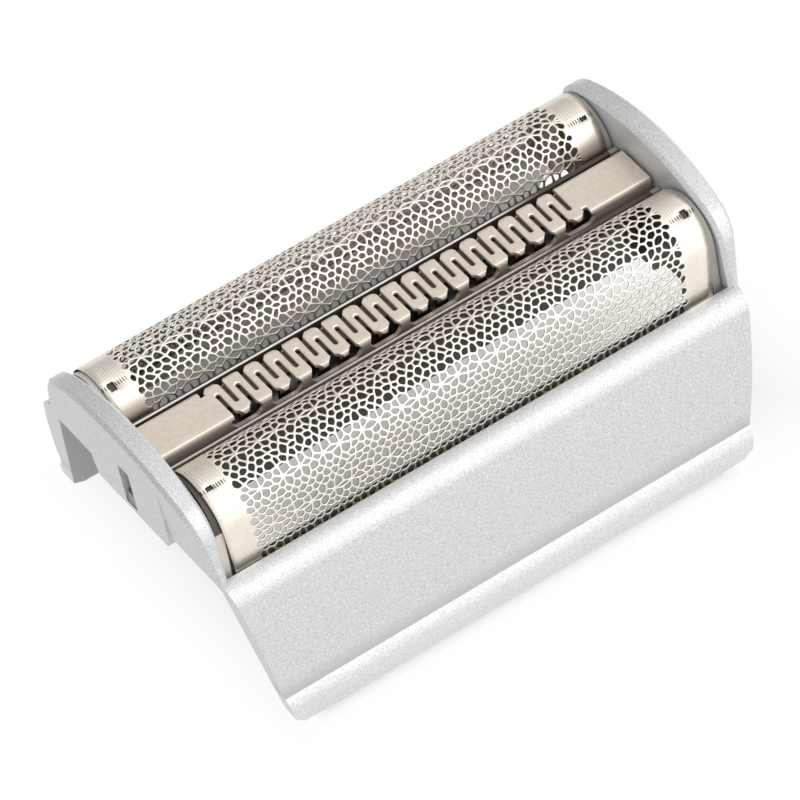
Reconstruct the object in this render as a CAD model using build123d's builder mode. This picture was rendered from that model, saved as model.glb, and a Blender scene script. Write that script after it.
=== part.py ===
from build123d import *
import math
import os

os.makedirs("parts", exist_ok=True)

# Foil head of an electric shaver, in millimetres. It stands on the rim of its frame at Z = 0, with
# X along the foils, Y across them and +Z towards the skin. The rear half (+Y) mirrors the front.

# Frame skirts
skirt_height = 12.9
skirt_top_width = 21.4
skirt_top_length = 43.2
rim_width = 28.4
rim_length = 38.4
shoulder_inset = 0.6
shoulder_radius = 1.8
shoulder_turn = 72.0
skirt_wall = 1.45
face_foot_slope = 0.07
bead_height = 2.7
bead_proud = 0.62
bead_crown_height = 0.75
bead_sagitta = 0.32
rim_chamfer = 0.3
rim_land = 0.9
rim_bevel = 1.2
rim_corner = 0.9

# Frame end walls
wall_inset = 0.6
wall_foot_thickness = 0.65
wall_top_thickness = 1.8
wall_height = 19.95
wall_crown_radius = 20.0
wall_corner_radius = 3.5
wall_foot_half = 10.55
wall_corner_half = 9.05
wall_foot_drop = 1.3
wall_edge_chamfer = 0.3
tab_width = 9.0
tab_taper = 0.4
tab_thickness = 0.9
tab_fade_drop = 1.95
tab_margin = 0.5

# Floating travel of the three elements, upwards from the lower stop
foil_travel = 1.2
trimmer_travel = 1.2
stop_gap = 0.1
guide_gap = 0.15
running_gap = 0.3

# Foils
foil_sheet = 0.15
foil_radius = 3.2
foil_recess = 1.2
foil_centre_y = 5.85
foil_lean = 8.0
foil_leg = 3.95
foil_inner_leg = 2.75
foil_end_gap = 0.5
foil_end_taper = 1.0
foil_end_band = 1.8
cell_length = 2.95
cell_width = 1.05
cell_pitch = 3.9
cell_rows = 6
cell_first_angle = 18.0
cell_row_step = 27.0
pin_hole = 0.5
pin_hole_inset = 0.75
pin_hole_angle = 110.0

# Foil carriers
seat_gap = 0.05
carrier_end_gap = 0.35
carrier_wall = 0.35
carrier_wall_rise = 1.15
carrier_foot_drop = 0.4
carrier_rail = 0.5
carrier_rail_height = 1.2
cheek_thickness = 1.8
cheek_window_width = 3.2
lug_width = 1.2
lug_height = 1.0
lug_length = 0.65
lug_drop = 1.65

# Trimmer comb
comb_recess = 2.65
comb_width = 3.6
comb_sheet = 0.3
comb_depth = 3.1
comb_end_gap = 0.3
comb_bend = 0.45
tip_pitch = 1.64
teeth_shift = 0.69
comb_plain_end = 5.8
slot_width = 0.36
slot_reach = 0.68
slot_end_sides = 8
tip_flat = 0.24
tip_chamfer = 0.5
leg_width = 0.75
leg_chamfer = 0.35
window_drop = 1.15
window_corner = 0.4
front_bridges = (False, True, False, True, False)
rear_bridges = (False, True, False, False, True)
end_notch = 0.7

# Trimmer carrier
tray_gap = 0.06
tray_drop = 5.1
tray_floor = 0.9
block_gap = 0.4
block_relief = 1.5
tray_lug_width = 1.0
tray_lug_height = 1.0
slot_spare = 1.7

# Trimmer blade, its driver and its springs
blade_gap = 0.04
blade_sheet = 0.3
blade_width = 2.6
blade_depth = 1.5
blade_overlap = 0.54
blade_stroke = 1.0
tooth_pitch = 1.64
tooth_gap = 0.8
tooth_spine = 0.5
driver_length = 5.0
driver_width = 1.8
driver_drop = 7.9
fork_gap = 2.0
fork_depth = 2.6
fork_lead = 0.4
spring_strip = 0.2
spring_width = 1.4
spring_reach = 7.0
spring_lip = 1.4

rim_half = rim_width / 2
skirt_half = skirt_top_width / 2
wall_inner_x = skirt_top_length / 2 - wall_inset
wall_foot_z = skirt_height - wall_foot_drop
end_slope = (skirt_top_length - rim_length) / 2 / skirt_height
tab_fade_z = wall_height - tab_fade_drop
foil_crown_z = wall_height - foil_recess
foil_centre_z = foil_crown_z - foil_radius
foil_foot_z = foil_centre_z - foil_leg
foil_inner_foot_z = foil_centre_z - foil_inner_leg
foil_crown_half = wall_inner_x - foil_end_gap
foil_foot_half = foil_crown_half - foil_end_taper
carrier_half = wall_inner_x - carrier_end_gap
carrier_wall_top = foil_centre_z + carrier_wall_rise
carrier_foot_z = foil_foot_z - carrier_foot_drop
lug_z = foil_centre_z - lug_drop
comb_half = wall_inner_x - comb_end_gap
comb_top = wall_height - comb_recess
tray_floor_z = comb_top - tray_drop
tip_count = int(2 * (comb_half - comb_plain_end) / tip_pitch)
blade_half_length = tip_count * tip_pitch / 2 + blade_overlap
driver_foot_z = comb_top - driver_drop
comb_inner_half = comb_width / 2 - comb_sheet
tray_half = comb_inner_half - tray_gap
tray_floor_top = tray_floor_z + tray_floor
slot_foot_z = tray_floor_z - stop_gap
tab_foot_z = slot_foot_z - tab_margin
slot_top_z = tray_floor_z + tray_lug_height + trimmer_travel + slot_spare
blade_top = comb_top - comb_sheet - blade_gap


def arch_point(radius, angle):
    """Point of the rear foil's arch, with the angle measured from +Y towards +Z."""
    turn = math.radians(angle)
    return (foil_centre_y + radius * math.cos(turn), foil_centre_z + radius * math.sin(turn))


def outer_leg(radius, foot_z):
    """Ends of the straight outer leg that leaves the arch of this radius along its tangent."""
    y, z = arch_point(radius, foil_lean)
    return (y, z), (y + (z - foot_z) * math.tan(math.radians(foil_lean)), foot_z)


mouth_half = outer_leg(foil_radius, foil_foot_z)[1][0] + running_gap

# Skirts: a leaning wall with a rounded shoulder above and a bead along the rim
with BuildPart() as skirts:
    with BuildSketch(Plane.YZ):
        with BuildLine():
            flat = Line((mouth_half, skirt_height), (skirt_half - shoulder_inset, skirt_height))
            shoulder = JernArc(flat @ 1, (1, 0), shoulder_radius, -shoulder_turn)
            bead_top = (rim_half - bead_proud, bead_height)
            face = Spline(shoulder @ 1, bead_top, tangents=[shoulder % 1, (face_foot_slope, -1)])
            bead = SagittaArc(face @ 1, (rim_half, bead_crown_height), bead_sagitta)
            Polyline(
                bead @ 1,
                (rim_half, rim_chamfer),
                (rim_half - rim_chamfer, 0),
                (rim_half - rim_land, 0),
                (rim_half - skirt_wall, rim_bevel),
                (mouth_half, skirt_height - skirt_wall),
                flat @ 0,
            )
        make_face()
    extrude(amount=skirt_top_length / 2, both=True)
    with BuildSketch(Plane.XZ):
        with BuildLine():
            Polyline(
                (rim_length / 2, 0),
                (skirt_top_length / 2, skirt_height),
                (-skirt_top_length / 2, skirt_height),
                (-rim_length / 2, 0),
                close=True,
            )
        make_face()
        chamfer(vertices().group_by(Axis.Y)[0], rim_corner)
    extrude(amount=rim_width, both=True, mode=Mode.INTERSECT)
    mirror(about=Plane.XZ)

# Frame: the skirts and two arched end walls with guide grooves and a slotted tab
with BuildPart() as foil_frame:
    with BuildSketch(Plane.XZ):
        with BuildLine():
            Polyline(
                (wall_inner_x, wall_foot_z),
                (wall_inner_x + wall_foot_thickness, wall_foot_z),
                (wall_inner_x + wall_top_thickness, wall_height),
                (wall_inner_x, wall_height),
                close=True,
            )
        make_face()
    extrude(amount=wall_foot_half, both=True)
    fade = (tab_fade_z - wall_foot_z) / (wall_height - wall_foot_z)
    fade_thickness = wall_foot_thickness + fade * (wall_top_thickness - wall_foot_thickness)
    with BuildSketch(Plane.XZ):
        with BuildLine():
            Polyline(
                (wall_inner_x, tab_foot_z),
                (wall_inner_x + tab_thickness, tab_foot_z),
                (wall_inner_x + fade_thickness, tab_fade_z),
                (wall_inner_x, tab_fade_z),
                close=True,
            )
        make_face()
    extrude(amount=tab_width / 2, both=True)
    mirror(about=Plane.YZ)
    crown_drop = wall_crown_radius - math.sqrt(wall_crown_radius**2 - wall_corner_half**2)
    with BuildSketch(Plane.YZ):
        with BuildLine():
            crown = ThreePointArc(
                (wall_corner_half, wall_height - crown_drop),
                (0, wall_height),
                (-wall_corner_half, wall_height - crown_drop),
            )
            Polyline(
                crown @ 1,
                (-wall_foot_half, wall_foot_z),
                (-tab_width / 2, skirt_height),
                (-tab_width / 2 + tab_taper, tab_foot_z),
                (tab_width / 2 - tab_taper, tab_foot_z),
                (tab_width / 2, skirt_height),
                (wall_foot_half, wall_foot_z),
                crown @ 0,
            )
        make_face()
        fillet(vertices().group_by(Axis.Y)[-1], wall_corner_radius)
    extrude(amount=skirt_top_length, both=True, mode=Mode.INTERSECT)
    crown_edges = edges().filter_by(GeomType.LINE, reverse=True)
    chamfer(crown_edges, wall_edge_chamfer)
    add(skirts.part)
    foot_end_x = skirt_top_length / 2 - wall_foot_drop * end_slope
    for side in (1, -1):
        with BuildSketch(Plane.XZ.offset(side * tab_width / 2)):
            for end in (1, -1):
                Polygon(
                    (end * skirt_top_length / 2, skirt_height),
                    (end * foot_end_x, wall_foot_z),
                    (end * skirt_top_length, wall_foot_z),
                    (end * skirt_top_length, skirt_height),
                    align=None,
                )
        extrude(amount=side * wall_foot_half, mode=Mode.SUBTRACT)
    with BuildSketch(Plane.YZ):
        with Locations((0, (slot_foot_z + slot_top_z) / 2)):
            Rectangle(tray_lug_width + 2 * guide_gap, slot_top_z - slot_foot_z)
    extrude(amount=skirt_top_length, both=True, mode=Mode.SUBTRACT)
    groove_foot = lug_z - stop_gap
    groove_top = lug_z + lug_height + foil_travel + stop_gap
    with BuildSketch(Plane.YZ):
        with Locations(
            (foil_centre_y, (groove_foot + groove_top) / 2), (-foil_centre_y, (groove_foot + groove_top) / 2)
        ):
            Rectangle(lug_width + 2 * guide_gap, groove_top - groove_foot)
    groove_depth = lug_length - carrier_end_gap + stop_gap
    extrude(amount=wall_inner_x + groove_depth, both=True, mode=Mode.SUBTRACT)
foil_frame.part.label = "foil_frame"
export_step(foil_frame.part, "parts/foil_frame.step")

# Foil carrier: two long walls joined by arched end cheeks that the foil rests on
cheek_radius = foil_radius - foil_sheet - seat_gap
cheek_inner_y = foil_centre_y - cheek_radius
wall_face_y = foil_centre_y - foil_radius - seat_gap
wall_back_y = wall_face_y - carrier_wall
leg_top, leg_foot = outer_leg(cheek_radius, carrier_foot_z)
rail_face_y = leg_foot[0] - carrier_rail_height * math.tan(math.radians(foil_lean))

with BuildPart() as rear_foil_carrier:
    with BuildSketch(Plane.YZ):
        with Locations((wall_face_y, carrier_foot_z)):
            Rectangle(carrier_wall, carrier_wall_top - carrier_foot_z, align=(Align.MAX, Align.MIN))
        with Locations((rail_face_y, carrier_foot_z)):
            Rectangle(carrier_rail, carrier_rail_height, align=(Align.MAX, Align.MIN))
    extrude(amount=carrier_half, both=True)
    with BuildSketch(Plane.YZ.offset(carrier_half)):
        with BuildLine():
            arch = ThreePointArc(leg_top, arch_point(cheek_radius, 90), (cheek_inner_y, foil_centre_z))
            Polyline(
                arch @ 1,
                (cheek_inner_y, foil_inner_foot_z - seat_gap),
                (wall_back_y, foil_inner_foot_z - seat_gap),
                (wall_back_y, carrier_foot_z),
                leg_foot,
                arch @ 0,
            )
        make_face()
        with Locations((foil_centre_y, carrier_foot_z)):
            Rectangle(
                cheek_window_width,
                lug_z - carrier_foot_z - lug_height,
                align=(Align.CENTER, Align.MIN),
                mode=Mode.SUBTRACT,
            )
    extrude(amount=-cheek_thickness)
    with BuildSketch(Plane.YZ.offset(carrier_half)):
        with Locations((foil_centre_y, lug_z)):
            Rectangle(lug_width, lug_height, align=(Align.CENTER, Align.MIN))
    extrude(amount=lug_length)
    mirror(about=Plane.YZ)
rear_foil_carrier.part.label = "rear_foil_carrier"
export_step(rear_foil_carrier.part, "parts/rear_foil_carrier.step")

with BuildPart() as front_foil_carrier:
    mirror(rear_foil_carrier.part, about=Plane.XZ)
front_foil_carrier.part.label = "front_foil_carrier"
export_step(front_foil_carrier.part, "parts/front_foil_carrier.step")

# Foil: a thin arched sheet with rows of cells and a square locating hole near each end
foil_inner_radius = foil_radius - foil_sheet
foil_axis = Plane((0, foil_centre_y, foil_centre_z), x_dir=(1, 0, 0), z_dir=(0, 1, 0))
cell_columns = int(2 * (foil_foot_half - foil_end_band) / cell_pitch)

with BuildPart() as foil_blank:
    with BuildSketch(Plane.YZ):
        with BuildLine():
            outer_top, outer_foot = outer_leg(foil_radius, foil_foot_z)
            inner_top, inner_foot = outer_leg(foil_inner_radius, foil_foot_z)
            outside = ThreePointArc(
                outer_top, arch_point(foil_radius, 90), (foil_centre_y - foil_radius, foil_centre_z)
            )
            inside = ThreePointArc(
                inner_top,
                arch_point(foil_inner_radius, 90),
                (foil_centre_y - foil_inner_radius, foil_centre_z),
            )
            Polyline(
                outside @ 1,
                (foil_centre_y - foil_radius, foil_inner_foot_z),
                (foil_centre_y - foil_inner_radius, foil_inner_foot_z),
                inside @ 1,
            )
            Polyline(outside @ 0, outer_foot, inner_foot, inside @ 0)
        make_face()
    extrude(amount=foil_crown_half, both=True)
    with BuildSketch(Plane.XZ):
        with BuildLine():
            Polyline(
                (foil_foot_half, foil_foot_z),
                (foil_crown_half, foil_crown_z),
                (-foil_crown_half, foil_crown_z),
                (-foil_foot_half, foil_foot_z),
                close=True,
            )
        make_face()
    extrude(amount=rim_width, both=True, mode=Mode.INTERSECT)
    for row in range(cell_rows):
        row_plane = foil_axis.rotated((cell_first_angle + row * cell_row_step, 0, 0))
        with BuildSketch(row_plane.offset(foil_radius - 2 * foil_sheet)):
            with Locations(((row % 2 - 0.5) * cell_pitch / 2, 0)):
                with GridLocations(cell_pitch, 1, cell_columns, 1):
                    Rectangle(cell_length, cell_width)
        extrude(amount=3 * foil_sheet, mode=Mode.SUBTRACT)

for foil_name, side in (("rear_foil", 1), ("front_foil", -1)):
    with BuildPart() as foil:
        if side > 0:
            add(foil_blank.part)
        else:
            mirror(foil_blank.part, about=Plane.XZ)
        arch_axis = Plane((0, side * foil_centre_y, foil_centre_z), x_dir=(1, 0, 0), z_dir=(0, 1, 0))
        with BuildSketch(arch_axis.rotated((pin_hole_angle, 0, 0)).offset(foil_radius - 2 * foil_sheet)):
            with GridLocations(2 * (foil_crown_half - pin_hole_inset), 1, 2, 1):
                Rectangle(pin_hole, pin_hole)
        extrude(amount=3 * foil_sheet, mode=Mode.SUBTRACT)
    foil.part.label = foil_name
    export_step(foil.part, "parts/" + foil_name + ".step")

# Trimmer comb: a bent channel whose top is cut into a serpentine of teeth. Some teeth run down into
# the side walls as bridges, and the others end in free points over a window in the wall.
comb_foot = comb_top - comb_depth
comb_edge = comb_width / 2
first_tip = teeth_shift - (tip_count - 1) * tip_pitch / 2
front_tips = [first_tip + n * tip_pitch for n in range(tip_count)]
rear_tips = [x - tip_pitch / 2 for x in front_tips]

with BuildPart() as trimmer_comb:
    with BuildSketch(Plane.YZ):
        with Locations((0, comb_foot)):
            Rectangle(comb_width, comb_depth, align=(Align.CENTER, Align.MIN))
        fillet(vertices().group_by(Axis.Y)[-1], comb_bend)
        with Locations((0, comb_foot)):
            Rectangle(
                2 * comb_inner_half,
                comb_depth - comb_sheet,
                align=(Align.CENTER, Align.MIN),
                mode=Mode.SUBTRACT,
            )
    extrude(amount=comb_half, both=True)
    for side, tips, gaps, bridges in (
        (-1, front_tips, rear_tips, front_bridges),
        (1, rear_tips, front_tips, rear_bridges),
    ):
        free_tips = [x for n, x in enumerate(tips) if not bridges[n % len(bridges)]]
        with BuildSketch(Plane.XY.offset(comb_top)):
            slot_end_y = side * (slot_width / 2 - slot_reach)
            with Locations(*[(x, (side * comb_edge + slot_end_y) / 2) for x in gaps]):
                Rectangle(slot_width, abs(side * comb_edge - slot_end_y))
            with Locations(*[(x, slot_end_y) for x in gaps]):
                RegularPolygon(
                    slot_width / 2, slot_end_sides, major_radius=False, rotation=180 / slot_end_sides
                )
            notch_x = tips[-1] + tip_pitch / 2 if side < 0 else tips[0] - tip_pitch / 2
            with Locations((notch_x, side * comb_edge)):
                Rectangle(slot_width, 2 * end_notch)
            for x in tips:
                is_free = x in free_tips
                tip_width = tip_flat if is_free else leg_width
                shoulder_drop = tip_chamfer if is_free else leg_chamfer
                for turn in (-1, 1):
                    corner_x = x + turn * tip_pitch / 2
                    Polygon(
                        (corner_x, side * comb_edge),
                        (x + turn * tip_width / 2, side * comb_edge),
                        (corner_x - turn * slot_width / 2, side * (comb_edge - shoulder_drop)),
                        (corner_x, side * (comb_edge - shoulder_drop)),
                        align=None,
                    )
        extrude(amount=-comb_sheet - comb_bend, mode=Mode.SUBTRACT)
        with BuildSketch(Plane.XZ.offset(-side * comb_edge)):
            with Locations(*[(x, comb_top - comb_sheet) for x in free_tips]):
                Rectangle(
                    2 * tip_pitch - leg_width, window_drop - comb_sheet, align=(Align.CENTER, Align.MAX)
                )
            chamfer(vertices().group_by(Axis.Y)[0], window_corner)
        extrude(amount=side * comb_sheet, mode=Mode.SUBTRACT)
trimmer_comb.part.label = "trimmer_comb"
export_step(trimmer_comb.part, "parts/trimmer_comb.step")

# Trimmer carrier: a clear tray with end blocks inside the comb and lugs in the frame's slots
block_x = blade_half_length + blade_stroke + block_gap
tray_wide_half = wall_back_y - running_gap
window_half = driver_length / 2 + blade_stroke + running_gap

with BuildPart() as trimmer_carrier:
    with BuildSketch(Plane.XY.offset(tray_floor_z)):
        Rectangle(2 * comb_half, 2 * tray_wide_half)
        Rectangle(2 * window_half, driver_width + 2 * running_gap, mode=Mode.SUBTRACT)
    extrude(amount=tray_floor)
    with BuildSketch(Plane.XZ):
        with Locations((block_x, tray_floor_top)):
            Rectangle(
                comb_half - block_x,
                comb_top - comb_sheet - seat_gap - tray_floor_top,
                align=(Align.MIN, Align.MIN),
            )
        fillet(vertices().group_by(Axis.Y)[-1].sort_by(Axis.X)[0], block_relief)
    extrude(amount=tray_half, both=True)
    with BuildSketch(Plane.YZ.offset(comb_half)):
        with Locations((0, tray_floor_z)):
            Rectangle(tray_lug_width, tray_lug_height, align=(Align.CENTER, Align.MIN))
    extrude(amount=wall_inner_x + tab_thickness - comb_half)
    mirror(about=Plane.YZ)
trimmer_carrier.part.label = "trimmer_carrier"
export_step(trimmer_carrier.part, "parts/trimmer_carrier.step")

# Trimmer blade: a slotted channel that strokes under the comb
tooth_count = int(2 * blade_half_length / tooth_pitch)
blade_half = blade_width / 2

with BuildPart() as trimmer_blade:
    with BuildSketch(Plane.YZ):
        with Locations((0, blade_top)):
            Rectangle(blade_width, blade_depth, align=(Align.CENTER, Align.MAX))
        with Locations((0, blade_top - blade_sheet)):
            Rectangle(
                blade_width - 2 * blade_sheet,
                blade_depth,
                align=(Align.CENTER, Align.MAX),
                mode=Mode.SUBTRACT,
            )
    extrude(amount=blade_half_length, both=True)
    with BuildSketch(Plane.XY.offset(blade_top)):
        for side in (-1, 1):
            with Locations((0, side * (blade_half + tooth_spine) / 2)):
                with GridLocations(tooth_pitch, 1, tooth_count, 1):
                    Rectangle(tooth_gap, blade_half - tooth_spine)
    extrude(amount=-blade_depth, mode=Mode.SUBTRACT)
trimmer_blade.part.label = "trimmer_blade"
export_step(trimmer_blade.part, "parts/trimmer_blade.step")

# Blade driver: a block under the blade with a fork for the drive pin
driver_top = blade_top - blade_sheet

with BuildPart() as blade_driver:
    with BuildSketch(Plane.XZ):
        with Locations((0, driver_foot_z)):
            Rectangle(driver_length, driver_top - driver_foot_z, align=(Align.CENTER, Align.MIN))
            Rectangle(fork_gap, fork_depth, align=(Align.CENTER, Align.MIN), mode=Mode.SUBTRACT)
    extrude(amount=driver_width / 2, both=True)
    chamfer(edges().filter_by(Axis.Y).group_by(Axis.Z)[0], fork_lead)
blade_driver.part.label = "blade_driver"
export_step(blade_driver.part, "parts/blade_driver.step")

# Blade springs: bent strips that stand on the tray and press the blade up against the comb
spring_top = driver_top - seat_gap
spring_foot = tray_floor_top + seat_gap
spring_tip_x = window_half + spring_lip
spring_heel_x = spring_tip_x + spring_reach

for end_name, end in (("left", -1), ("right", 1)):
    with BuildPart() as blade_spring:
        with BuildSketch(Plane.XZ):
            with BuildLine():
                Polyline(
                    (end * (spring_tip_x - spring_lip), spring_top),
                    (end * spring_tip_x, spring_top),
                    (end * spring_heel_x, spring_foot + spring_strip),
                    (end * (spring_heel_x + spring_lip), spring_foot + spring_strip),
                    (end * (spring_heel_x + spring_lip), spring_foot),
                    (end * spring_heel_x, spring_foot),
                    (end * spring_tip_x, spring_top - spring_strip),
                    (end * (spring_tip_x - spring_lip), spring_top - spring_strip),
                    close=True,
                )
            make_face()
        extrude(amount=spring_width / 2, both=True)
    blade_spring.part.label = "blade_spring_" + end_name
    export_step(blade_spring.part, "parts/blade_spring_" + end_name + ".step")
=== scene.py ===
# Foil head of an electric shaver: a silver frame, two floating foils and a trimmer between them.
# Lengths are in millimetres. A mesh is put in metres when it is finished, and a material reads its
# places in millimetres too.
import math
import random

import bmesh
import bpy
from mathutils import Matrix, Vector


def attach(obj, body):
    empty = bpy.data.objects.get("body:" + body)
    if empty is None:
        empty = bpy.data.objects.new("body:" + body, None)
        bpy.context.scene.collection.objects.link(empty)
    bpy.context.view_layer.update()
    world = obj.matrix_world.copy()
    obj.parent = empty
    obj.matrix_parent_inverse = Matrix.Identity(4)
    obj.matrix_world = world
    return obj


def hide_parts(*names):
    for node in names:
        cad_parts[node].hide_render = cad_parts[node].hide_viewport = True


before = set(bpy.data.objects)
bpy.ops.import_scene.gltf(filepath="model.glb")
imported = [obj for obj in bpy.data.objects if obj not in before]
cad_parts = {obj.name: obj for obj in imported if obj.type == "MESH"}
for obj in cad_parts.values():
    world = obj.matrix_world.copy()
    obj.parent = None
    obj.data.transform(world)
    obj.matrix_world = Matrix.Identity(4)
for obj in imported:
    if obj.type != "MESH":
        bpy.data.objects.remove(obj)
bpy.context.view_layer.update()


# Frame: one moulding of hard plastic, two leaning skirts and two arched end walls, sprayed with a
# fine silver metallic paint. Everything else hangs in it.
MM = 0.001
WELD = 0.002
FLAT_TURN = math.radians(0.5)
FRAME_SHARP = math.radians(28)
FRAME_EDGE = 0.14
FRAME_EDGE_STEPS = 2
SILVER = ((0.5, 0.5, 0.51, 1), (0.78, 0.78, 0.785, 1))
SILVER_METAL = 0.65
LACQUER = 0.15
LACQUER_ROUGH = 0.25
FRAME_INSIDE = (0.4, 0.395, 0.39, 1)
FRAME_INSIDE_METAL = 0.15
FRAME_INSIDE_TOP = 12.6
TURNED_IN = -0.5
TURNED_OUT = 4
# Painted shade for the crease above the bead, and a painted highlight for the bead's lower half.
CREASE_PAINTED_SHADE = (0.52, 0.525, 0.535, 1)
CREASE_FOOT = 2.7
CREASE_TOP = 4.4
BEAD_PAINTED_HIGHLIGHT = (0.95, 0.95, 0.945, 1)
BEAD_HIGHLIGHT_SHARE = 0.22
BEAD_MIDDLE = 1.4


def welded_copy(node):
    """A CAD node's triangles welded into one mesh in millimetres, with flat areas as single faces."""
    bm = bmesh.new()
    bm.from_mesh(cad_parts[node].data)
    bmesh.ops.scale(bm, vec=(1 / MM,) * 3, verts=bm.verts)
    bmesh.ops.remove_doubles(bm, verts=bm.verts, dist=WELD)
    bmesh.ops.dissolve_limit(bm, angle_limit=FLAT_TURN, verts=bm.verts, edges=bm.edges)
    return bm


def bevel_edges(bm, edges, width, segments, clamp_overlap=True):
    """Cuts a flat or rounded edge along some edges of a mesh."""
    bmesh.ops.bevel(
        bm,
        geom=edges,
        offset=width,
        offset_type="OFFSET",
        affect="EDGES",
        segments=segments,
        profile=0.5,
        clamp_overlap=clamp_overlap,
        material=-1,
    )


def finish_mesh(bm, name, sharp_angle):
    """Turns a mesh in millimetres into an object in metres, smooth but for its sharp edges."""
    bmesh.ops.scale(bm, vec=(MM,) * 3, verts=bm.verts)
    for face in bm.faces:
        face.smooth = True
    for edge in bm.edges:
        edge.smooth = edge.calc_face_angle(0) < sharp_angle
    mesh = bpy.data.meshes.new(name)
    bm.to_mesh(mesh)
    bm.free()
    piece = bpy.data.objects.new(name, mesh)
    bpy.context.scene.collection.objects.link(piece)
    if sharp_angle < math.pi:
        piece.modifiers.new("flat_faces", "WEIGHTED_NORMAL").keep_sharp = True
    return piece


def new_material(name):
    """A procedural material, with its node tree and its Principled shader."""
    material = bpy.data.materials.new(name)
    material.use_nodes = True
    tree = material.node_tree
    return material, tree, tree.nodes["Principled BSDF"]


def feed(tree, socket, value):
    """Gives a node's input another node's output, or a plain value."""
    if isinstance(value, bpy.types.NodeSocket):
        tree.links.new(value, socket)
    else:
        socket.default_value = value


def math_node(tree, operation, *values):
    """The result of a sum, a product, a comparison or the like."""
    node = tree.nodes.new("ShaderNodeMath")
    node.operation = operation
    for socket, value in zip(node.inputs, values):
        feed(tree, socket, value)
    return node.outputs["Value"]


def vector_node(tree, operation, *values):
    """The same for vectors: a dot product gives a value, the others give a vector."""
    node = tree.nodes.new("ShaderNodeVectorMath")
    node.operation = operation
    for socket, value in zip(node.inputs, values):
        feed(tree, socket, value)
    return node.outputs["Value" if operation == "DOT_PRODUCT" else "Vector"]


def ramp_node(tree, value, start, end, low=0, high=1, smooth=False):
    """A value that goes from low to high while another one goes from start to end."""
    node = tree.nodes.new("ShaderNodeMapRange")
    node.interpolation_type = "SMOOTHSTEP" if smooth else "LINEAR"
    feed(tree, node.inputs["Value"], value)
    feed(tree, node.inputs["From Min"], start)
    feed(tree, node.inputs["From Max"], end)
    feed(tree, node.inputs["To Min"], low)
    feed(tree, node.inputs["To Max"], high)
    return node.outputs["Result"]


def blend_node(tree, factor, first, second):
    """A colour that goes from a first one to a second one."""
    node = tree.nodes.new("ShaderNodeMix")
    node.data_type = "RGBA"
    feed(tree, node.inputs["Factor"], factor)
    feed(tree, node.inputs["A"], first)
    feed(tree, node.inputs["B"], second)
    return node.outputs["Result"]


def place_nodes(tree):
    """The place on the piece in millimetres, and the way in which its surface faces."""
    given = tree.nodes.new("ShaderNodeTexCoord")
    return vector_node(tree, "MULTIPLY", given.outputs["Object"], (1 / MM,) * 3), given.outputs["Normal"]


def axes_node(tree, vector):
    """The three parts of a vector."""
    node = tree.nodes.new("ShaderNodeSeparateXYZ")
    feed(tree, node.inputs["Vector"], vector)
    return node.outputs["X"], node.outputs["Y"], node.outputs["Z"]


def grain_group():
    """Shared grain: fine noise on Object coordinates that shifts colour, roughness and height."""
    group = bpy.data.node_groups.new("fine_grain", "ShaderNodeTree")
    for name, way, kind in (
        ("Scale", "INPUT", "NodeSocketFloat"),
        ("Low Color", "INPUT", "NodeSocketColor"),
        ("High Color", "INPUT", "NodeSocketColor"),
        ("Low Roughness", "INPUT", "NodeSocketFloat"),
        ("High Roughness", "INPUT", "NodeSocketFloat"),
        ("Color", "OUTPUT", "NodeSocketColor"),
        ("Roughness", "OUTPUT", "NodeSocketFloat"),
        ("Height", "OUTPUT", "NodeSocketFloat"),
    ):
        group.interface.new_socket(name, in_out=way, socket_type=kind)
    given = group.nodes.new("NodeGroupInput").outputs
    result = group.nodes.new("NodeGroupOutput").inputs
    place = group.nodes.new("ShaderNodeTexCoord")
    noise = group.nodes.new("ShaderNodeTexNoise")
    feed(group, noise.inputs["Vector"], place.outputs["Object"])
    feed(group, noise.inputs["Scale"], given["Scale"])
    feed(group, noise.inputs["Detail"], 3)
    fine = noise.outputs["Fac"]
    spread = ramp_node(group, fine, start=0.3, end=0.7)
    colour = blend_node(group, spread, given["Low Color"], given["High Color"])
    rough = ramp_node(group, fine, 0, 1, given["Low Roughness"], given["High Roughness"])
    feed(group, result["Color"], colour)
    feed(group, result["Roughness"], rough)
    feed(group, result["Height"], fine)
    return group


fine_grain = grain_group()


def add_grain(tree, shader, scale, colours, roughness, bump, depth):
    """Places the shared grain in a material and returns its colour."""
    grain = tree.nodes.new("ShaderNodeGroup")
    grain.node_tree = fine_grain
    feed(tree, grain.inputs["Scale"], scale)
    feed(tree, grain.inputs["Low Color"], colours[0])
    feed(tree, grain.inputs["High Color"], colours[1])
    feed(tree, grain.inputs["Low Roughness"], roughness[0])
    feed(tree, grain.inputs["High Roughness"], roughness[1])
    relief = tree.nodes.new("ShaderNodeBump")
    feed(tree, relief.inputs["Strength"], bump)
    feed(tree, relief.inputs["Distance"], depth * MM)
    feed(tree, relief.inputs["Height"], grain.outputs["Height"])
    feed(tree, shader.inputs["Base Color"], grain.outputs["Color"])
    feed(tree, shader.inputs["Roughness"], grain.outputs["Roughness"])
    feed(tree, shader.inputs["Normal"], relief.outputs["Normal"])
    return grain.outputs["Color"]


silver_paint, paint, paint_shader = new_material("silver_paint")
paint_grain = add_grain(
    paint, paint_shader, scale=9000, colours=SILVER, roughness=(0.32, 0.46), bump=0.3, depth=0.03
)
feed(paint, paint_shader.inputs["Coat Weight"], LACQUER)
feed(paint, paint_shader.inputs["Coat Roughness"], LACQUER_ROUGH)
paint_place, paint_normal = place_nodes(paint)
_, _, paint_z = axes_node(paint, paint_place)
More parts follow.
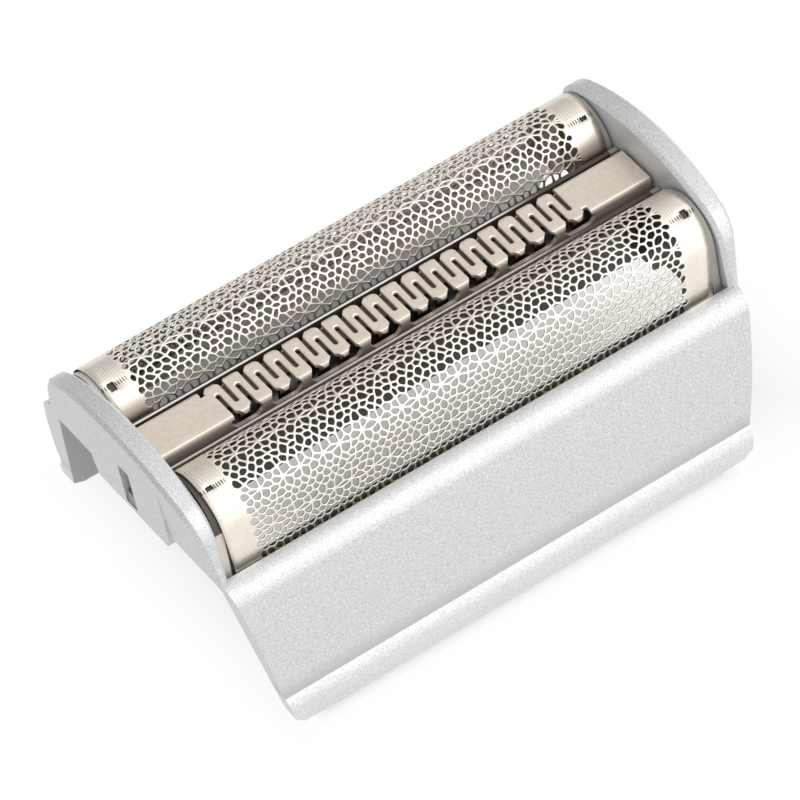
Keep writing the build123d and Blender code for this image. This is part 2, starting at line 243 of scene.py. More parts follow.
# Painted shade darkens the crease above the bead, and a painted highlight lightens the bead's lower
# half; the inside below the skirts' top is a darker, duller grey. A face that looks away from the
# upright axis has a facing above zero.
from_middle = vector_node(paint, "MULTIPLY", paint_place, (1, 1, 0))
facing = vector_node(paint, "DOT_PRODUCT", paint_normal, from_middle)
faces_in = math_node(paint, "LESS_THAN", facing, TURNED_IN)
faces_out = math_node(paint, "GREATER_THAN", facing, TURNED_OUT)
above_bead = math_node(paint, "GREATER_THAN", paint_z, CREASE_FOOT)
crease_shade_fade = ramp_node(paint, paint_z, CREASE_TOP, CREASE_FOOT, smooth=True)
crease_face = math_node(paint, "MULTIPLY", faces_out, above_bead)
crease_shade_mask = math_node(paint, "MULTIPLY", crease_face, crease_shade_fade)
# Painted shade in the crease above the bead.
crease_shaded = blend_node(paint, crease_shade_mask, paint_grain, CREASE_PAINTED_SHADE)
# Painted highlight on the bead's lower half.
bead_highlight_ramp = ramp_node(paint, paint_z, CREASE_FOOT, BEAD_MIDDLE, high=BEAD_HIGHLIGHT_SHARE)
bead_highlight_mask = math_node(paint, "MULTIPLY", faces_out, bead_highlight_ramp)
bead_highlighted = blend_node(paint, bead_highlight_mask, crease_shaded, BEAD_PAINTED_HIGHLIGHT)
below_top = math_node(paint, "LESS_THAN", paint_z, FRAME_INSIDE_TOP)
inside_frame = math_node(paint, "MULTIPLY", faces_in, below_top)
paint_colour = blend_node(paint, inside_frame, bead_highlighted, FRAME_INSIDE)
paint_metal = ramp_node(paint, faces_in, 0, 1, SILVER_METAL, FRAME_INSIDE_METAL)
feed(paint, paint_shader.inputs["Base Color"], paint_colour)
feed(paint, paint_shader.inputs["Metallic"], paint_metal)

frame_bm = welded_copy("foil_frame")
corners = [e for e in frame_bm.edges if e.is_manifold and e.calc_face_angle(0) > FRAME_SHARP]
bevel_edges(frame_bm, corners, FRAME_EDGE, FRAME_EDGE_STEPS)
silver_frame = finish_mesh(frame_bm, "silver_frame", FRAME_SHARP)
silver_frame.data.materials.append(silver_paint)
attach(silver_frame, "frame")
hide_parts("foil_frame")


# Foil carriers: two brown plastic frames that slide in the end walls. The foils rest on their grey
# arched end cheeks, and their inner walls stand beside the trimmer as thin rails with a painted
# highlight along the edge.
PLASTIC_SHARP = math.radians(30)
CLOSE = 0.001
CHEEK_END = 20.65
CHEEK_GROWTH = 0.2
CHEEK_START = 20.2
CHEEK_SHADE_TOP = 16.1
# Painted light on the left cheeks.
CHEEK_PAINTED_LIGHT = (0.62, 0.58, 0.54, 1)
CHEEK_GREY = (0.3, 0.295, 0.28, 1)
CARRIER_BROWN = ((0.055, 0.042, 0.03, 1), (0.08, 0.064, 0.048, 1))
# Painted light on the rear wall away from its left end.
REAR_WALL_PAINTED_LIGHT = (0.45, 0.385, 0.33, 1)
REAR_WALL_START = 6.5
REAR_WALL_LIGHT_RUN = (-18, -6)
# Painted highlights along the rails' top edges.
RAIL_HIGHLIGHT_FOOT = 16.55
RAIL_HIGHLIGHT_RUN = (15, 9)
RAIL_PAINTED_HIGHLIGHTS = (
    (2.3, 2.46, (0.85, 0.82, 0.79, 1)),
    (-2.48, -2.32, (0.6, 0.55, 0.51, 1)),
)

carrier_plastic, plastic, plastic_shader = new_material("carrier_plastic")
plastic_grain = add_grain(
    plastic, plastic_shader, scale=5000, colours=CARRIER_BROWN, roughness=(0.3, 0.42), bump=0.1, depth=0.02
)
carrier_x, carrier_y, carrier_z = axes_node(plastic, place_nodes(plastic)[0])
# Painted light lightens the rear wall away from its left end, and the left cheeks: the rear one
# whole, the front one only on its lower part. The right cheeks are grey, and the rails' edges carry
# painted highlights.
past_rear = math_node(plastic, "GREATER_THAN", carrier_y, REAR_WALL_START)
rear_light_run = ramp_node(plastic, carrier_x, *REAR_WALL_LIGHT_RUN, smooth=True)
rear_light_mask = math_node(plastic, "MULTIPLY", past_rear, rear_light_run)
rear_lit_colour = blend_node(plastic, rear_light_mask, plastic_grain, REAR_WALL_PAINTED_LIGHT)
# Painted light on the left cheeks: the rear one whole, the front one only on its lower part.
left_end = math_node(plastic, "LESS_THAN", carrier_x, -CHEEK_START)
low_cheek = math_node(plastic, "LESS_THAN", carrier_z, CHEEK_SHADE_TOP)
rear_carrier = math_node(plastic, "GREATER_THAN", carrier_y, 0)
lit_cheek = math_node(plastic, "MAXIMUM", low_cheek, rear_carrier)
left_cheek_light_mask = math_node(plastic, "MULTIPLY", left_end, lit_cheek)
left_cheek_lit_colour = blend_node(plastic, left_cheek_light_mask, rear_lit_colour, CHEEK_PAINTED_LIGHT)
right_end = math_node(plastic, "GREATER_THAN", carrier_x, CHEEK_START)
carrier_colour = blend_node(plastic, right_end, left_cheek_lit_colour, CHEEK_GREY)
# Painted highlights along the rails' top edges, fading out towards the right.
highlight_top = math_node(plastic, "GREATER_THAN", carrier_z, RAIL_HIGHLIGHT_FOOT)
highlight_run = ramp_node(plastic, carrier_x, *RAIL_HIGHLIGHT_RUN, smooth=True)
highlight_share = math_node(plastic, "MULTIPLY", highlight_top, highlight_run)
for low_y, high_y, rail_highlight_colour in RAIL_PAINTED_HIGHLIGHTS:
    past_low = math_node(plastic, "GREATER_THAN", carrier_y, low_y)
    before_high = math_node(plastic, "LESS_THAN", carrier_y, high_y)
    on_edge = math_node(plastic, "MULTIPLY", past_low, before_high)
    rail_highlight_mask = math_node(plastic, "MULTIPLY", on_edge, highlight_share)
    carrier_colour = blend_node(plastic, rail_highlight_mask, carrier_colour, rail_highlight_colour)
feed(plastic, plastic_shader.inputs["Base Color"], carrier_colour)

for node, body in (("front_foil_carrier", "front_foil_unit"), ("rear_foil_carrier", "rear_foil_unit")):
    carrier_bm = welded_copy(node)
    for end in (-1, 1):
        end_face = [v for v in carrier_bm.verts if abs(v.co.x - end * CHEEK_END) < CLOSE]
        bmesh.ops.translate(carrier_bm, vec=(end * CHEEK_GROWTH, 0, 0), verts=end_face)
    carrier = finish_mesh(carrier_bm, node + "_moulding", PLASTIC_SHARP)
    carrier.data.materials.append(carrier_plastic)
    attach(carrier, body)
    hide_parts(node)


# Foils: thin electroformed nickel sheets bent into arches over the carriers' cheeks. Their cells are
# irregular, five to a repeat along the foil, and the plain end bands carry fine lines and a pin hole.
FOIL_RADIUS = 3.2
FOIL_CENTRE = (5.85, 15.55)
FOIL_OUT_TURN = math.radians(82)
FOIL_FOOT_Z = 11.6
FOIL_INNER_FOOT_Z = 12.8
FOIL_CROWN_HALF = 20.5
FOIL_FOOT_HALF = 19.9
FOIL_SHEET = 0.08
FIELD_HALF = 18.4
FIELD_INNER = -5.0
FIELD_OUTER = 8.6
REPEAT = 3.26
REPEAT_CELLS = 5
REPEAT_ROWS = 6
ROW_STEP = 0.52
STEPS_PER_ROW = 1.5
GRID_COLUMN = REPEAT / REPEAT_CELLS / 2
GRID_STEP = ROW_STEP / STEPS_PER_ROW
GRID_COLUMNS = round(2 * FIELD_HALF / GRID_COLUMN)
GRID_ROWS = round((FIELD_OUTER - FIELD_INNER) / GRID_STEP)
STARS = {(0, 3), (2, 3)}
CELL_SEED = 7
JITTER = 0.15
PINCH = 0.6
SMOOTHING = 0.4
WEB = 0.072
WEB_CUTS = 2
MIN_CELL = 0.1
PIN_HOLE = 0.5
PIN_INSET = 0.75
PIN_TURN = math.radians(20)
NICKEL = ((0.88, 0.81, 0.72, 1), (0.95, 0.88, 0.8, 1))
BAND = 1.95
LINE_STEP = 0.21
LINE_WIDTH = 0.4 * LINE_STEP
LINE_REACH = 2.4
LINE_SHADE = (0.76, 0.69, 0.61, 1)
TICK_REACH = 0.16
TICK_SHADE = (0.1, 0.09, 0.08, 1)
FLANK_SHADE = (0.33, 0.28, 0.23, 1)
FLANK_SHADE_SHARE = 0.75
FLANK = (-2.1, -2.65)
# Painted shade on the inside of the arches, with painted light on the rear one towards the right.
FOIL_INSIDE_PAINTED_SHADE = (0.055, 0.038, 0.025, 1)
FOIL_INSIDE_REAR_PAINTED_LIGHT = (0.4, 0.34, 0.285, 1)
FOIL_INSIDE_LIGHT_RUN = (-16, 4)
FOIL_INSIDE_METAL = 0.3


def staggered_grid():
    """A flat triangle grid whose odd columns stand half a step on, and the grid spot of each corner."""
    bm = bmesh.new()
    bmesh.ops.create_grid(bm, x_segments=GRID_COLUMNS, y_segments=GRID_ROWS, size=0.5)
    spots = {}
    for vert in bm.verts:
        i = round((vert.co.x + 0.5) * GRID_COLUMNS)
        j = round((vert.co.y + 0.5) * GRID_ROWS)
        spots[vert] = (i, j)
        shift = 0.5 if i % 2 and 0 < j < GRID_ROWS else 0
        vert.co = ((i - GRID_COLUMNS / 2) * GRID_COLUMN, FIELD_INNER + (j + shift) * GRID_STEP, 0)
    bmesh.ops.triangulate(bm, faces=bm.faces, quad_method="SHORT_EDGE")
    return bm, spots


def sort_cells(spots):
    """The cells' middles, every third corner: those that close to a star of webs, and the rest."""
    stars, plain = [], []
    for vert, (i, j) in spots.items():
        if (j - i // 2 - i) % 3 or vert.is_boundary:
            continue
        row = round((j + (i % 2) / 2) / STEPS_PER_ROW)
        key = ((i // 2) % REPEAT_CELLS, row % REPEAT_ROWS)
        near_edge = any(e.other_vert(vert).is_boundary for e in vert.link_edges)
        kind = stars if key in STARS and not near_edge else plain
        kind.append(vert)
    return stars, plain


def jitter_corners(spots, rng):
    """Moves the inner corners a little, the same way in each repeat."""
    shifts = {}
    for vert, (i, j) in spots.items():
        key = (i % (2 * REPEAT_CELLS), j % round(STEPS_PER_ROW * REPEAT_ROWS))
        if key not in shifts:
            shifts[key] = (rng.uniform(-JITTER, JITTER), rng.uniform(-JITTER, JITTER))
        if not vert.is_boundary:
            vert.co.x += shifts[key][0]
            vert.co.y += shifts[key][1]


def pinch_webs(bm, rng):
    """Closes some webs that don't lie next to each other, so that four cells meet there."""
    webs = [e for e in bm.edges if all(len(v.link_edges) == 3 and not v.is_boundary for v in e.verts)]
    pinched, taken = [], set()
    for web in webs:
        near = {w for v in web.verts for e in v.link_edges for w in e.verts}
        if rng.random() < PINCH and not near & taken:
            pinched.append(web)
            taken |= near
    bmesh.ops.collapse(bm, edges=pinched)


def cell_sheet():
    """The foil's cells on a flat sheet: X along the foil, Y round the arch with the crown at 0."""
    bm, spots = staggered_grid()
    stars, plain = sort_cells(spots)
    rng = random.Random(CELL_SEED)
    jitter_corners(spots, rng)
    merged = {e.other_vert(star): star for star in stars for e in star.link_edges}
    bmesh.ops.weld_verts(bm, targetmap=merged)
    bmesh.ops.dissolve_verts(bm, verts=[v for v in plain if v.is_valid])
    pinch_webs(bm, rng)
    inner = [v for v in bm.verts if not v.is_boundary]
    bmesh.ops.smooth_vert(bm, verts=inner, factor=SMOOTHING, use_axis_x=True, use_axis_y=True)
    return bm


def open_cells(bm):
    """Opens the whole cells of the flat sheet as rounded polygons, leaving thin webs between them."""
    rim = {v for v in bm.verts if v.is_boundary}
    bmesh.ops.bisect_edges(bm, edges=[e for e in bm.edges if not e.is_boundary], cuts=WEB_CUTS)
    cells = [f for f in bm.faces if f.calc_area() > MIN_CELL]
    bmesh.ops.inset_individual(bm, faces=cells, thickness=WEB, use_even_offset=True)
    bmesh.ops.delete(bm, geom=cells, context="FACES_ONLY")
    moved = {}
    for vert in bm.verts:
        beside = [e.other_vert(vert).co for e in vert.link_edges if e.is_boundary]
        if len(beside) == 2 and vert not in rim:
            moved[vert] = vert.co / 2 + (beside[0] + beside[1]) / 4
    for vert, spot in moved.items():
        vert.co = spot


def widen(bm, axis, value, target):
    """Extrudes one side of the flat sheet out to a new line."""
    side_edges = [
        e for e in bm.edges if e.is_boundary and all(abs(v.co[axis] - value) < CLOSE for v in e.verts)
    ]
    grown = bmesh.ops.extrude_edge_only(bm, edges=side_edges)["geom"]
    for item in grown:
        if isinstance(item, bmesh.types.BMVert):
            item.co[axis] = target


def pin_holes(bm, side):
    """Opens the square locating hole in each end band, on the side towards the front."""
    turned = -side * PIN_TURN * FOIL_RADIUS
    for end in (-1, 1):
        middle = end * (FOIL_CROWN_HALF - PIN_INSET)
        gone = [
            f
            for f in bm.faces
            if abs(f.calc_center_median().x - middle) < PIN_HOLE / 4
            and abs(f.calc_center_median().y - turned) < PIN_HOLE / 2
        ]
        bmesh.ops.delete(bm, geom=gone, context="FACES")


def bend_foil(bm, side):
    """Bends the flat sheet over the arch, with the crown up and the long leg outwards."""
    end_run = bm.verts.layers.float.new("end_run")
    pin_run = bm.verts.layers.float.new("pin_run")
    y0, z0 = FOIL_CENTRE
    crown_z = z0 + FOIL_RADIUS
    for vert in bm.verts:
        along, round_arch, _ = vert.co
        turn = max(-math.pi / 2, min(FOIL_OUT_TURN, round_arch / FOIL_RADIUS))
        leg = round_arch - turn * FOIL_RADIUS
        y = y0 + FOIL_RADIUS * math.sin(turn) + leg * math.cos(turn)
        z = z0 + FOIL_RADIUS * math.cos(turn) - leg * math.sin(turn)
        lean = (crown_z - z) / (crown_z - FOIL_FOOT_Z)
        half = FOIL_CROWN_HALF + lean * (FOIL_FOOT_HALF - FOIL_CROWN_HALF)
        vert[end_run] = FOIL_CROWN_HALF - abs(along)
        vert[pin_run] = round_arch + side * PIN_TURN * FOIL_RADIUS
        vert.co = (along * half / FOIL_CROWN_HALF, side * y, z)


def attribute_node(tree, name):
    """A value that the mesh carries at its corners."""
    node = tree.nodes.new("ShaderNodeAttribute")
    node.attribute_name = name
    return node.outputs["Fac"]


foil_nickel, nickel, nickel_shader = new_material("foil_nickel")
nickel_grain = add_grain(
    nickel, nickel_shader, scale=2500, colours=NICKEL, roughness=(0.34, 0.46), bump=0.1, depth=0.01
)
# The end bands carry fine lines, with short dark ticks beside the pin hole.
to_end = attribute_node(nickel, "end_run")
to_pin = math_node(nickel, "ABSOLUTE", attribute_node(nickel, "pin_run"))
past_line = math_node(nickel, "WRAP", to_end, LINE_STEP, 0)
on_line = math_node(nickel, "LESS_THAN", past_line, LINE_WIDTH)
in_band = math_node(nickel, "LESS_THAN", to_end, BAND)
in_reach = math_node(nickel, "LESS_THAN", to_pin, LINE_REACH)
line_area = math_node(nickel, "MULTIPLY", in_band, in_reach)
line_mask = math_node(nickel, "MULTIPLY", on_line, line_area)
near_pin = math_node(nickel, "LESS_THAN", to_pin, TICK_REACH)
tick_mask = math_node(nickel, "MULTIPLY", line_mask, near_pin)
lined = blend_node(nickel, line_mask, nickel_grain, LINE_SHADE)
ticked = blend_node(nickel, tick_mask, lined, TICK_SHADE)
# Painted shade darkens the inside of the arch and its flank beside the trimmer, and painted light
# lightens the rear foil's inside towards the right. Both foils are read as one, by the distance from
# the arch's axis.
nickel_place, nickel_normal = place_nodes(nickel)
either_side = vector_node(nickel, "ABSOLUTE", nickel_place)
arch_out = vector_node(nickel, "SUBTRACT", either_side, (0, *FOIL_CENTRE))
arch_side = vector_node(nickel, "SIGN", nickel_place)
arch_sign = vector_node(nickel, "MULTIPLY", arch_side, (0, 1, 1))
arch_normal = vector_node(nickel, "MULTIPLY", nickel_normal, arch_sign)
outward = vector_node(nickel, "DOT_PRODUCT", arch_normal, arch_out)
foil_inside = math_node(nickel, "LESS_THAN", outward, 0)
_, across_arch, _ = axes_node(nickel, arch_out)
flank_mask = ramp_node(nickel, across_arch, *FLANK, high=FLANK_SHADE_SHARE)
flanked = blend_node(nickel, flank_mask, ticked, FLANK_SHADE)
inside_shaded_colour = blend_node(nickel, foil_inside, flanked, FOIL_INSIDE_PAINTED_SHADE)
foil_x, foil_y, _ = axes_node(nickel, nickel_place)
# Painted light on the rear foil's inside, towards the right.
inside_light_run = ramp_node(nickel, foil_x, *FOIL_INSIDE_LIGHT_RUN, smooth=True)
rear_foil = math_node(nickel, "GREATER_THAN", foil_y, 0)
rear_light_share = math_node(nickel, "MULTIPLY", inside_light_run, rear_foil)
rear_inside_light = math_node(nickel, "MULTIPLY", rear_light_share, foil_inside)
foil_colour = blend_node(nickel, rear_inside_light, inside_shaded_colour, FOIL_INSIDE_REAR_PAINTED_LIGHT)
foil_metal = ramp_node(nickel, foil_inside, 0, 1, 1, FOIL_INSIDE_METAL)
feed(nickel, nickel_shader.inputs["Base Color"], foil_colour)
feed(nickel, nickel_shader.inputs["Metallic"], foil_metal)

leg_drop = FOIL_CENTRE[1] + FOIL_RADIUS * math.cos(FOIL_OUT_TURN) - FOIL_FOOT_Z
outer_foot = FOIL_RADIUS * FOIL_OUT_TURN + leg_drop / math.sin(FOIL_OUT_TURN)
inner_foot = -FOIL_RADIUS * math.pi / 2 - (FOIL_CENTRE[1] - FOIL_INNER_FOOT_Z)

for node, body, side in (("front_foil", "front_foil_unit", -1), ("rear_foil", "rear_foil_unit", 1)):
    foil_bm = cell_sheet()
    field_end = max(v.co.x for v in foil_bm.verts)
    field_low = min(v.co.y for v in foil_bm.verts)
    field_high = max(v.co.y for v in foil_bm.verts)
    open_cells(foil_bm)
    for inset in (PIN_INSET + PIN_HOLE / 2, PIN_INSET - PIN_HOLE / 2, 0):
        band_line = FOIL_CROWN_HALF - inset
        widen(foil_bm, 0, -field_end, -band_line)
        widen(foil_bm, 0, field_end, band_line)
        field_end = band_line
    pin_holes(foil_bm, side)
    widen(foil_bm, 1, field_low, inner_foot)
    widen(foil_bm, 1, field_high, outer_foot)
    bend_foil(foil_bm, side)
    foil_bm.normal_update()
    facing_down = [f for f in foil_bm.faces if f.normal.z < 0]
    if 2 * len(facing_down) > len(foil_bm.faces):
        bmesh.ops.reverse_faces(foil_bm, faces=foil_bm.faces)
    foil = finish_mesh(foil_bm, node + "_sheet", math.pi)
    sheet = foil.modifiers.new("sheet", "SOLIDIFY")
    sheet.thickness = FOIL_SHEET * MM
    sheet.offset = -1
    foil.data.materials.append(foil_nickel)
    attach(foil, body)
    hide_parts(node)


# Trimmer carrier: a clear grey plastic tray that floats in the end walls' slots. Its end blocks sit
# inside the comb and hold it.
TRAY_GREY = ((0.3, 0.295, 0.29, 1), (0.38, 0.375, 0.37, 1))
TRAY_CLEAR = 0.35
TRAY_IOR = 1.49

tray_clear, clear, clear_shader = new_material("tray_clear")
add_grain(
    clear, clear_shader, scale=3000, colours=TRAY_GREY, roughness=(0.14, 0.24), bump=0.05, depth=0.02
)
feed(clear, clear_shader.inputs["Transmission Weight"], TRAY_CLEAR)
feed(clear, clear_shader.inputs["IOR"], TRAY_IOR)
tray = finish_mesh(welded_copy("trimmer_carrier"), "clear_tray", PLASTIC_SHARP)
tray.data.materials.append(tray_clear)
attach(tray, "trimmer_unit")
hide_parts("trimmer_carrier")


# Trimmer comb: a steel strip stamped into a serpentine of teeth and folded into a channel over the
# tray. Its stamped rim carries a painted highlight, and the folded walls a painted shade.
COMB_TOP = 17.3
COMB_TOOTH_DEPTH = 1
COMB_CORNER = math.radians(60)
COMB_TURN = 0.13
COMB_TURN_STEPS = 3
COMB_RIM_TURN = math.radians(50)
COMB_RIM = 0.09
COMB_SHARP = math.radians(30)
COMB_STEEL = ((0.72, 0.625, 0.54, 1), (0.8, 0.7, 0.615, 1))
COMB_METAL = 0.6
# Painted highlight on the rim's chamfer.
COMB_RIM_PAINTED_HIGHLIGHT = (0.92, 0.84, 0.76, 1)
COMB_HIGHLIGHT_DEPTH = 0.9 * COMB_RIM
COMB_HIGHLIGHT_TILT = 0.9
COMB_SHADE = (0.36, 0.31, 0.265, 1)
COMB_SHADE_METAL = 0.25
COMB_SHADE_DEPTH = (0.05, 0.9)
COMB_WALL_TILT = 0.5
COMB_FRONT_TILT = (-0.1, -0.7)
COMB_FRONT_SHARE = 0.75

comb_steel, steel, steel_shader = new_material("comb_steel")
steel_grain = add_grain(
    steel, steel_shader, scale=2500, colours=COMB_STEEL, roughness=(0.32, 0.45), bump=0.15, depth=0.02
)
steel_place, steel_normal = place_nodes(steel)
_, _, comb_z = axes_node(steel, steel_place)
_, comb_front, comb_up = axes_node(steel, steel_normal)
# Painted shade darkens the walls with their depth and the faces turned to the front, and a painted
# highlight lightens the rim's chamfer.
comb_depth = math_node(steel, "SUBTRACT", COMB_TOP, comb_z)
shade_depth = ramp_node(steel, comb_depth, *COMB_SHADE_DEPTH, smooth=True)
wall_face = math_node(steel, "LESS_THAN", comb_up, COMB_WALL_TILT)
wall_shade_mask = math_node(steel, "MULTIPLY", shade_depth, wall_face)
front_shade_mask = ramp_node(steel, comb_front, *COMB_FRONT_TILT, high=COMB_FRONT_SHARE)
shade_mask = math_node(steel, "MAXIMUM", wall_shade_mask, front_shade_mask)
shaded = blend_node(steel, shade_mask, steel_grain, COMB_SHADE)
# Painted highlight on the rim's chamfer, where it tilts.
at_rim = math_node(steel, "LESS_THAN", comb_depth, COMB_HIGHLIGHT_DEPTH)
tilted = math_node(steel, "LESS_THAN", comb_up, COMB_HIGHLIGHT_TILT)
rim_highlight_mask = math_node(steel, "MULTIPLY", at_rim, tilted)
comb_colour = blend_node(steel, rim_highlight_mask, shaded, COMB_RIM_PAINTED_HIGHLIGHT)
comb_metal = ramp_node(steel, wall_shade_mask, 0, 1, COMB_METAL, COMB_SHADE_METAL)
feed(steel, steel_shader.inputs["Base Color"], comb_colour)
feed(steel, steel_shader.inputs["Metallic"], comb_metal)

comb_bm = welded_copy("trimmer_comb")
tooth_corners = [
    e
    for e in comb_bm.edges
    if (e.verts[0].co - e.verts[1].co).xy.length < CLOSE
    and min(v.co.z for v in e.verts) > COMB_TOP - COMB_TOOTH_DEPTH
    and e.calc_face_angle(0) > COMB_CORNER
]
bevel_edges(comb_bm, tooth_corners, COMB_TURN, COMB_TURN_STEPS)
comb_rim = [
    e
    for e in comb_bm.edges
    if e.is_manifold
    and all(abs(v.co.z - COMB_TOP) < CLOSE for v in e.verts)
    and e.calc_face_angle(0) > COMB_RIM_TURN
]
bevel_edges(comb_bm, comb_rim, COMB_RIM, segments=1, clamp_overlap=False)
comb = finish_mesh(comb_bm, "serpentine_comb", COMB_SHARP)
comb.data.materials.append(comb_steel)
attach(comb, "trimmer_unit")
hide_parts("trimmer_comb")


# Trimmer blade: a ground steel blade that strokes under the comb. It lies in shade there, and its
# steel is coloured as a painted shade, so that its teeth show dark between the comb's.
# Painted shade: the blade's steel is coloured dark.
BLADE_PAINTED_SHADE = ((0.1, 0.088, 0.076, 1), (0.15, 0.135, 0.118, 1))


def dress_node(node, material):
    """Gives a CAD node's own mesh a material."""
    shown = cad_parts[node].data.materials
    shown.clear()
    shown.append(material)


blade_steel, blade, blade_shader = new_material("blade_steel")
add_grain(
    blade, blade_shader, scale=2500, colours=BLADE_PAINTED_SHADE, roughness=(0.3, 0.45), bump=0.1, depth=0.02
)
feed(blade, blade_shader.inputs["Metallic"], 1)
dress_node("trimmer_blade", blade_steel)


# Blade driver: a moulded block of black plastic under the blade, with a fork that the shaver's drive
# pin moves.
DRIVER_BLACK = ((0.02, 0.02, 0.021, 1), (0.035, 0.035, 0.037, 1))

driver_plastic, driver, driver_shader = new_material("driver_plastic")
add_grain(
    driver, driver_shader, scale=4000, colours=DRIVER_BLACK, roughness=(0.4, 0.55), bump=0.1, depth=0.02
)
dress_node("blade_driver", driver_plastic)


# Blade springs: two bent strips of spring steel, held by the tray, that press the blade up to the
# comb.
SPRING_STEEL = ((0.5, 0.49, 0.47, 1), (0.58, 0.57, 0.55, 1))

spring_steel, spring, spring_shader = new_material("spring_steel")
add_grain(
    spring, spring_shader, scale=2500, colours=SPRING_STEEL, roughness=(0.25, 0.35), bump=0.1, depth=0.02
)
feed(spring, spring_shader.inputs["Metallic"], 1)
for node in ("blade_spring_left", "blade_spring_right"):
    dress_node(node, spring_steel)


# Table: a plain white floor that looks white to the camera and in reflections, but for a painted
# shadow under the part and a narrow one along the front rim, and a painted shade to the left in
# reflections.
TABLE_HALF = 900
TABLE_WHITE = (0.75, 0.75, 0.75, 1)
TABLE_ROUGH = 0.9
# Painted shade on the mirrored table to the left, and painted shadow under the part and before its front
# rim.
LEFT_RUN = (-50, -15)
LEFT_MIRRORED_SHADE = 0.4
SHADOW_UNDER_PART = ((4.5, 19.5), (0, 10.5))
SHADOW_UNDER_FADE = (-12, 7)
SHADOW_UNDER_LEVEL = 0.12
RIM_SHADOW_FADE = (-13.9, -15.3)
RIM_SHADOW_LEVEL = 0.35
RIM_SHADOW_ENDS = (15, 18.8)
WHITE = (1, 1, 1, 1)
WARM_SHADE = (1, 0.92, 0.86, 1)
WARM_LIMIT = 1.7

table_white, table, table_shader = new_material("table_white")
feed(table, table_shader.inputs["Base Color"], TABLE_WHITE)
feed(table, table_shader.inputs["Roughness"], TABLE_ROUGH)
table_x, table_y, _ = axes_node(table, place_nodes(table)[0])
# The table glows where it is seen or mirrored. Painted shadows lower the glow under the part, where
# it is tinted warm, and before its front rim, and a painted shade dims it to the left where mirrored.
shares = []
for place, (middle, half) in zip((table_x, table_y), SHADOW_UNDER_PART):
    away = math_node(table, "ABSOLUTE", math_node(table, "SUBTRACT", place, middle))
    fade = (half + SHADOW_UNDER_FADE[0], half + SHADOW_UNDER_FADE[1])
    shares.append(ramp_node(table, away, *fade, low=SHADOW_UNDER_LEVEL, smooth=True))
outside_shadow_share = math_node(table, "MAXIMUM", *shares)
rim_shadow_ramp = ramp_node(table, table_y, *RIM_SHADOW_FADE, low=RIM_SHADOW_LEVEL, smooth=True)
behind_rim = math_node(table, "GREATER_THAN", table_y, RIM_SHADOW_FADE[0])
beside_rim = ramp_node(table, math_node(table, "ABSOLUTE", table_x), *RIM_SHADOW_ENDS, smooth=True)
off_rim = math_node(table, "MAXIMUM", behind_rim, beside_rim)
rim_shadow_share = math_node(table, "MAXIMUM", rim_shadow_ramp, off_rim)
shadowed_glow_share = math_node(table, "MINIMUM", outside_shadow_share, rim_shadow_share)
light_path = table.nodes.new("ShaderNodeLightPath").outputs
left_mirrored_shade = ramp_node(table, table_x, *LEFT_RUN, low=LEFT_MIRRORED_SHADE, smooth=True)
mirrored = math_node(table, "MULTIPLY", light_path["Is Glossy Ray"], left_mirrored_shade)
seen = math_node(table, "MAXIMUM", light_path["Is Camera Ray"], mirrored)
seen_through = math_node(table, "MAXIMUM", seen, light_path["Is Transmission Ray"])
glow = table.nodes.new("ShaderNodeEmission")
warm_share = math_node(table, "MULTIPLY", outside_shadow_share, WARM_LIMIT)
feed(table, glow.inputs["Color"], blend_node(table, warm_share, WARM_SHADE, WHITE))
table_mix = table.nodes.new("ShaderNodeMixShader")
feed(table, table_mix.inputs["Fac"], math_node(table, "MULTIPLY", seen_through, shadowed_glow_share))
feed(table, table_mix.inputs[1], table_shader.outputs["BSDF"])
feed(table, table_mix.inputs[2], glow.outputs["Emission"])
feed(table, table.nodes["Material Output"].inputs["Surface"], table_mix.outputs["Shader"])

table_bm = bmesh.new()
bmesh.ops.create_grid(table_bm, x_segments=1, y_segments=1, size=TABLE_HALF)
white_table = finish_mesh(table_bm, "white_table", math.pi)
white_table.data.materials.append(table_white)


# Light: a white studio all round, brighter in front and at the right, and one soft square lamp that
# stands there and faces the part.
SKY_FRONT = Vector((0.5, -0.84, 0.2)).normalized()
SKY_RUN = (-0.7, 1)
SKY_LEVELS = (0.54, 1.5)
LAMP_PLACE = Vector((210, -340, 460))
LAMP_AIM = Vector((0, 0, 10))
LAMP_SIZE = 450
LAMP_WATTS = 0.35

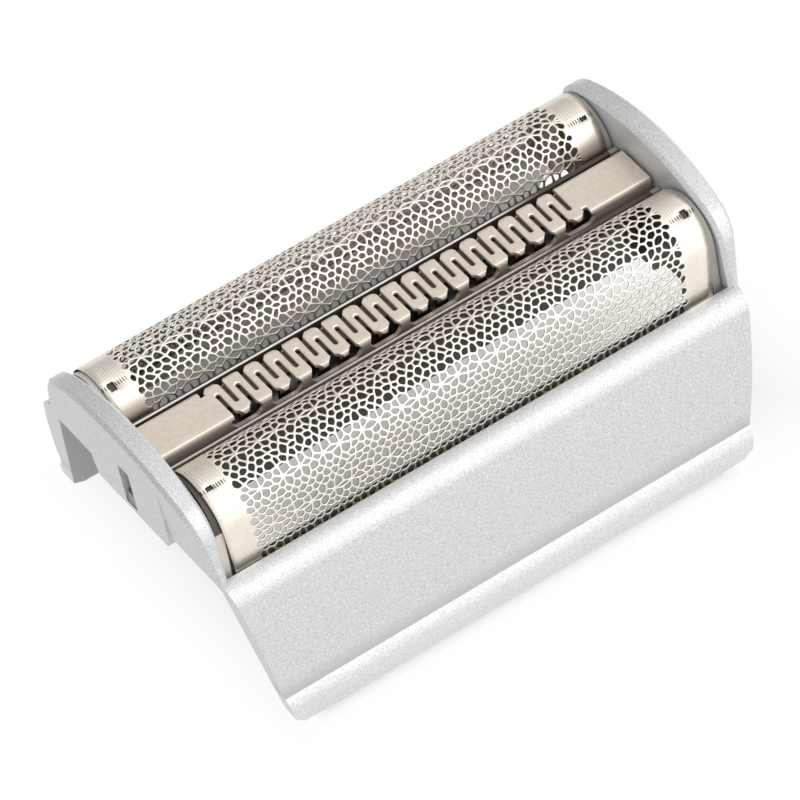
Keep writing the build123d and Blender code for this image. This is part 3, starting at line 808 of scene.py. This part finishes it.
studio = bpy.data.worlds.new("studio")
studio.use_nodes = True
bpy.context.scene.world = studio
sky = studio.node_tree
sky_place = sky.nodes.new("ShaderNodeTexCoord")
sky_turn = vector_node(sky, "DOT_PRODUCT", sky_place.outputs["Generated"], SKY_FRONT)
background = sky.nodes["Background"]
feed(sky, background.inputs["Color"], WHITE)
feed(sky, background.inputs["Strength"], ramp_node(sky, sky_turn, *SKY_RUN, *SKY_LEVELS, smooth=True))

key_light = bpy.data.lights.new("key_lamp", "AREA")
key_light.size = LAMP_SIZE * MM
key_light.energy = LAMP_WATTS
key_lamp = bpy.data.objects.new("key_lamp", key_light)
key_lamp.location = LAMP_PLACE * MM
key_lamp.rotation_euler = (LAMP_AIM - LAMP_PLACE).to_track_quat("-Z", "Y").to_euler()
bpy.context.scene.collection.objects.link(key_lamp)


# Camera: far off with a long lens, looking down on the part from the front left, and rolled a
# little.
VIEW_TURN = math.radians(-31.49)
VIEW_RISE = math.radians(48.354)
VIEW_ROLL = math.radians(-5.479)
VIEW_DISTANCE = 522.854
VIEW_SHIFT = (-0.533, 4.831)
VIEW_LENS = 337.5
VIEW_SENSOR = 36
VIEW_START = 10

back = Vector(
    (
        math.sin(VIEW_TURN) * math.cos(VIEW_RISE),
        -math.cos(VIEW_TURN) * math.cos(VIEW_RISE),
        math.sin(VIEW_RISE),
    )
)
level = Vector((math.cos(VIEW_TURN), math.sin(VIEW_TURN), 0))
steep = back.cross(level)
right = level * math.cos(VIEW_ROLL) + steep * math.sin(VIEW_ROLL)
up = steep * math.cos(VIEW_ROLL) - level * math.sin(VIEW_ROLL)
camera_place = (right * VIEW_SHIFT[0] + up * VIEW_SHIFT[1] + back * VIEW_DISTANCE) * MM
camera_data = bpy.data.cameras.new("camera")
camera_data.lens = VIEW_LENS
camera_data.sensor_width = VIEW_SENSOR
camera_data.clip_start = VIEW_START * MM
camera = bpy.data.objects.new("camera", camera_data)
camera.matrix_world = Matrix.Translation(camera_place) @ Matrix((right, up, back)).transposed().to_4x4()
bpy.context.scene.collection.objects.link(camera)
bpy.context.scene.camera = camera
bpy.context.scene.view_settings.view_transform = "Standard"
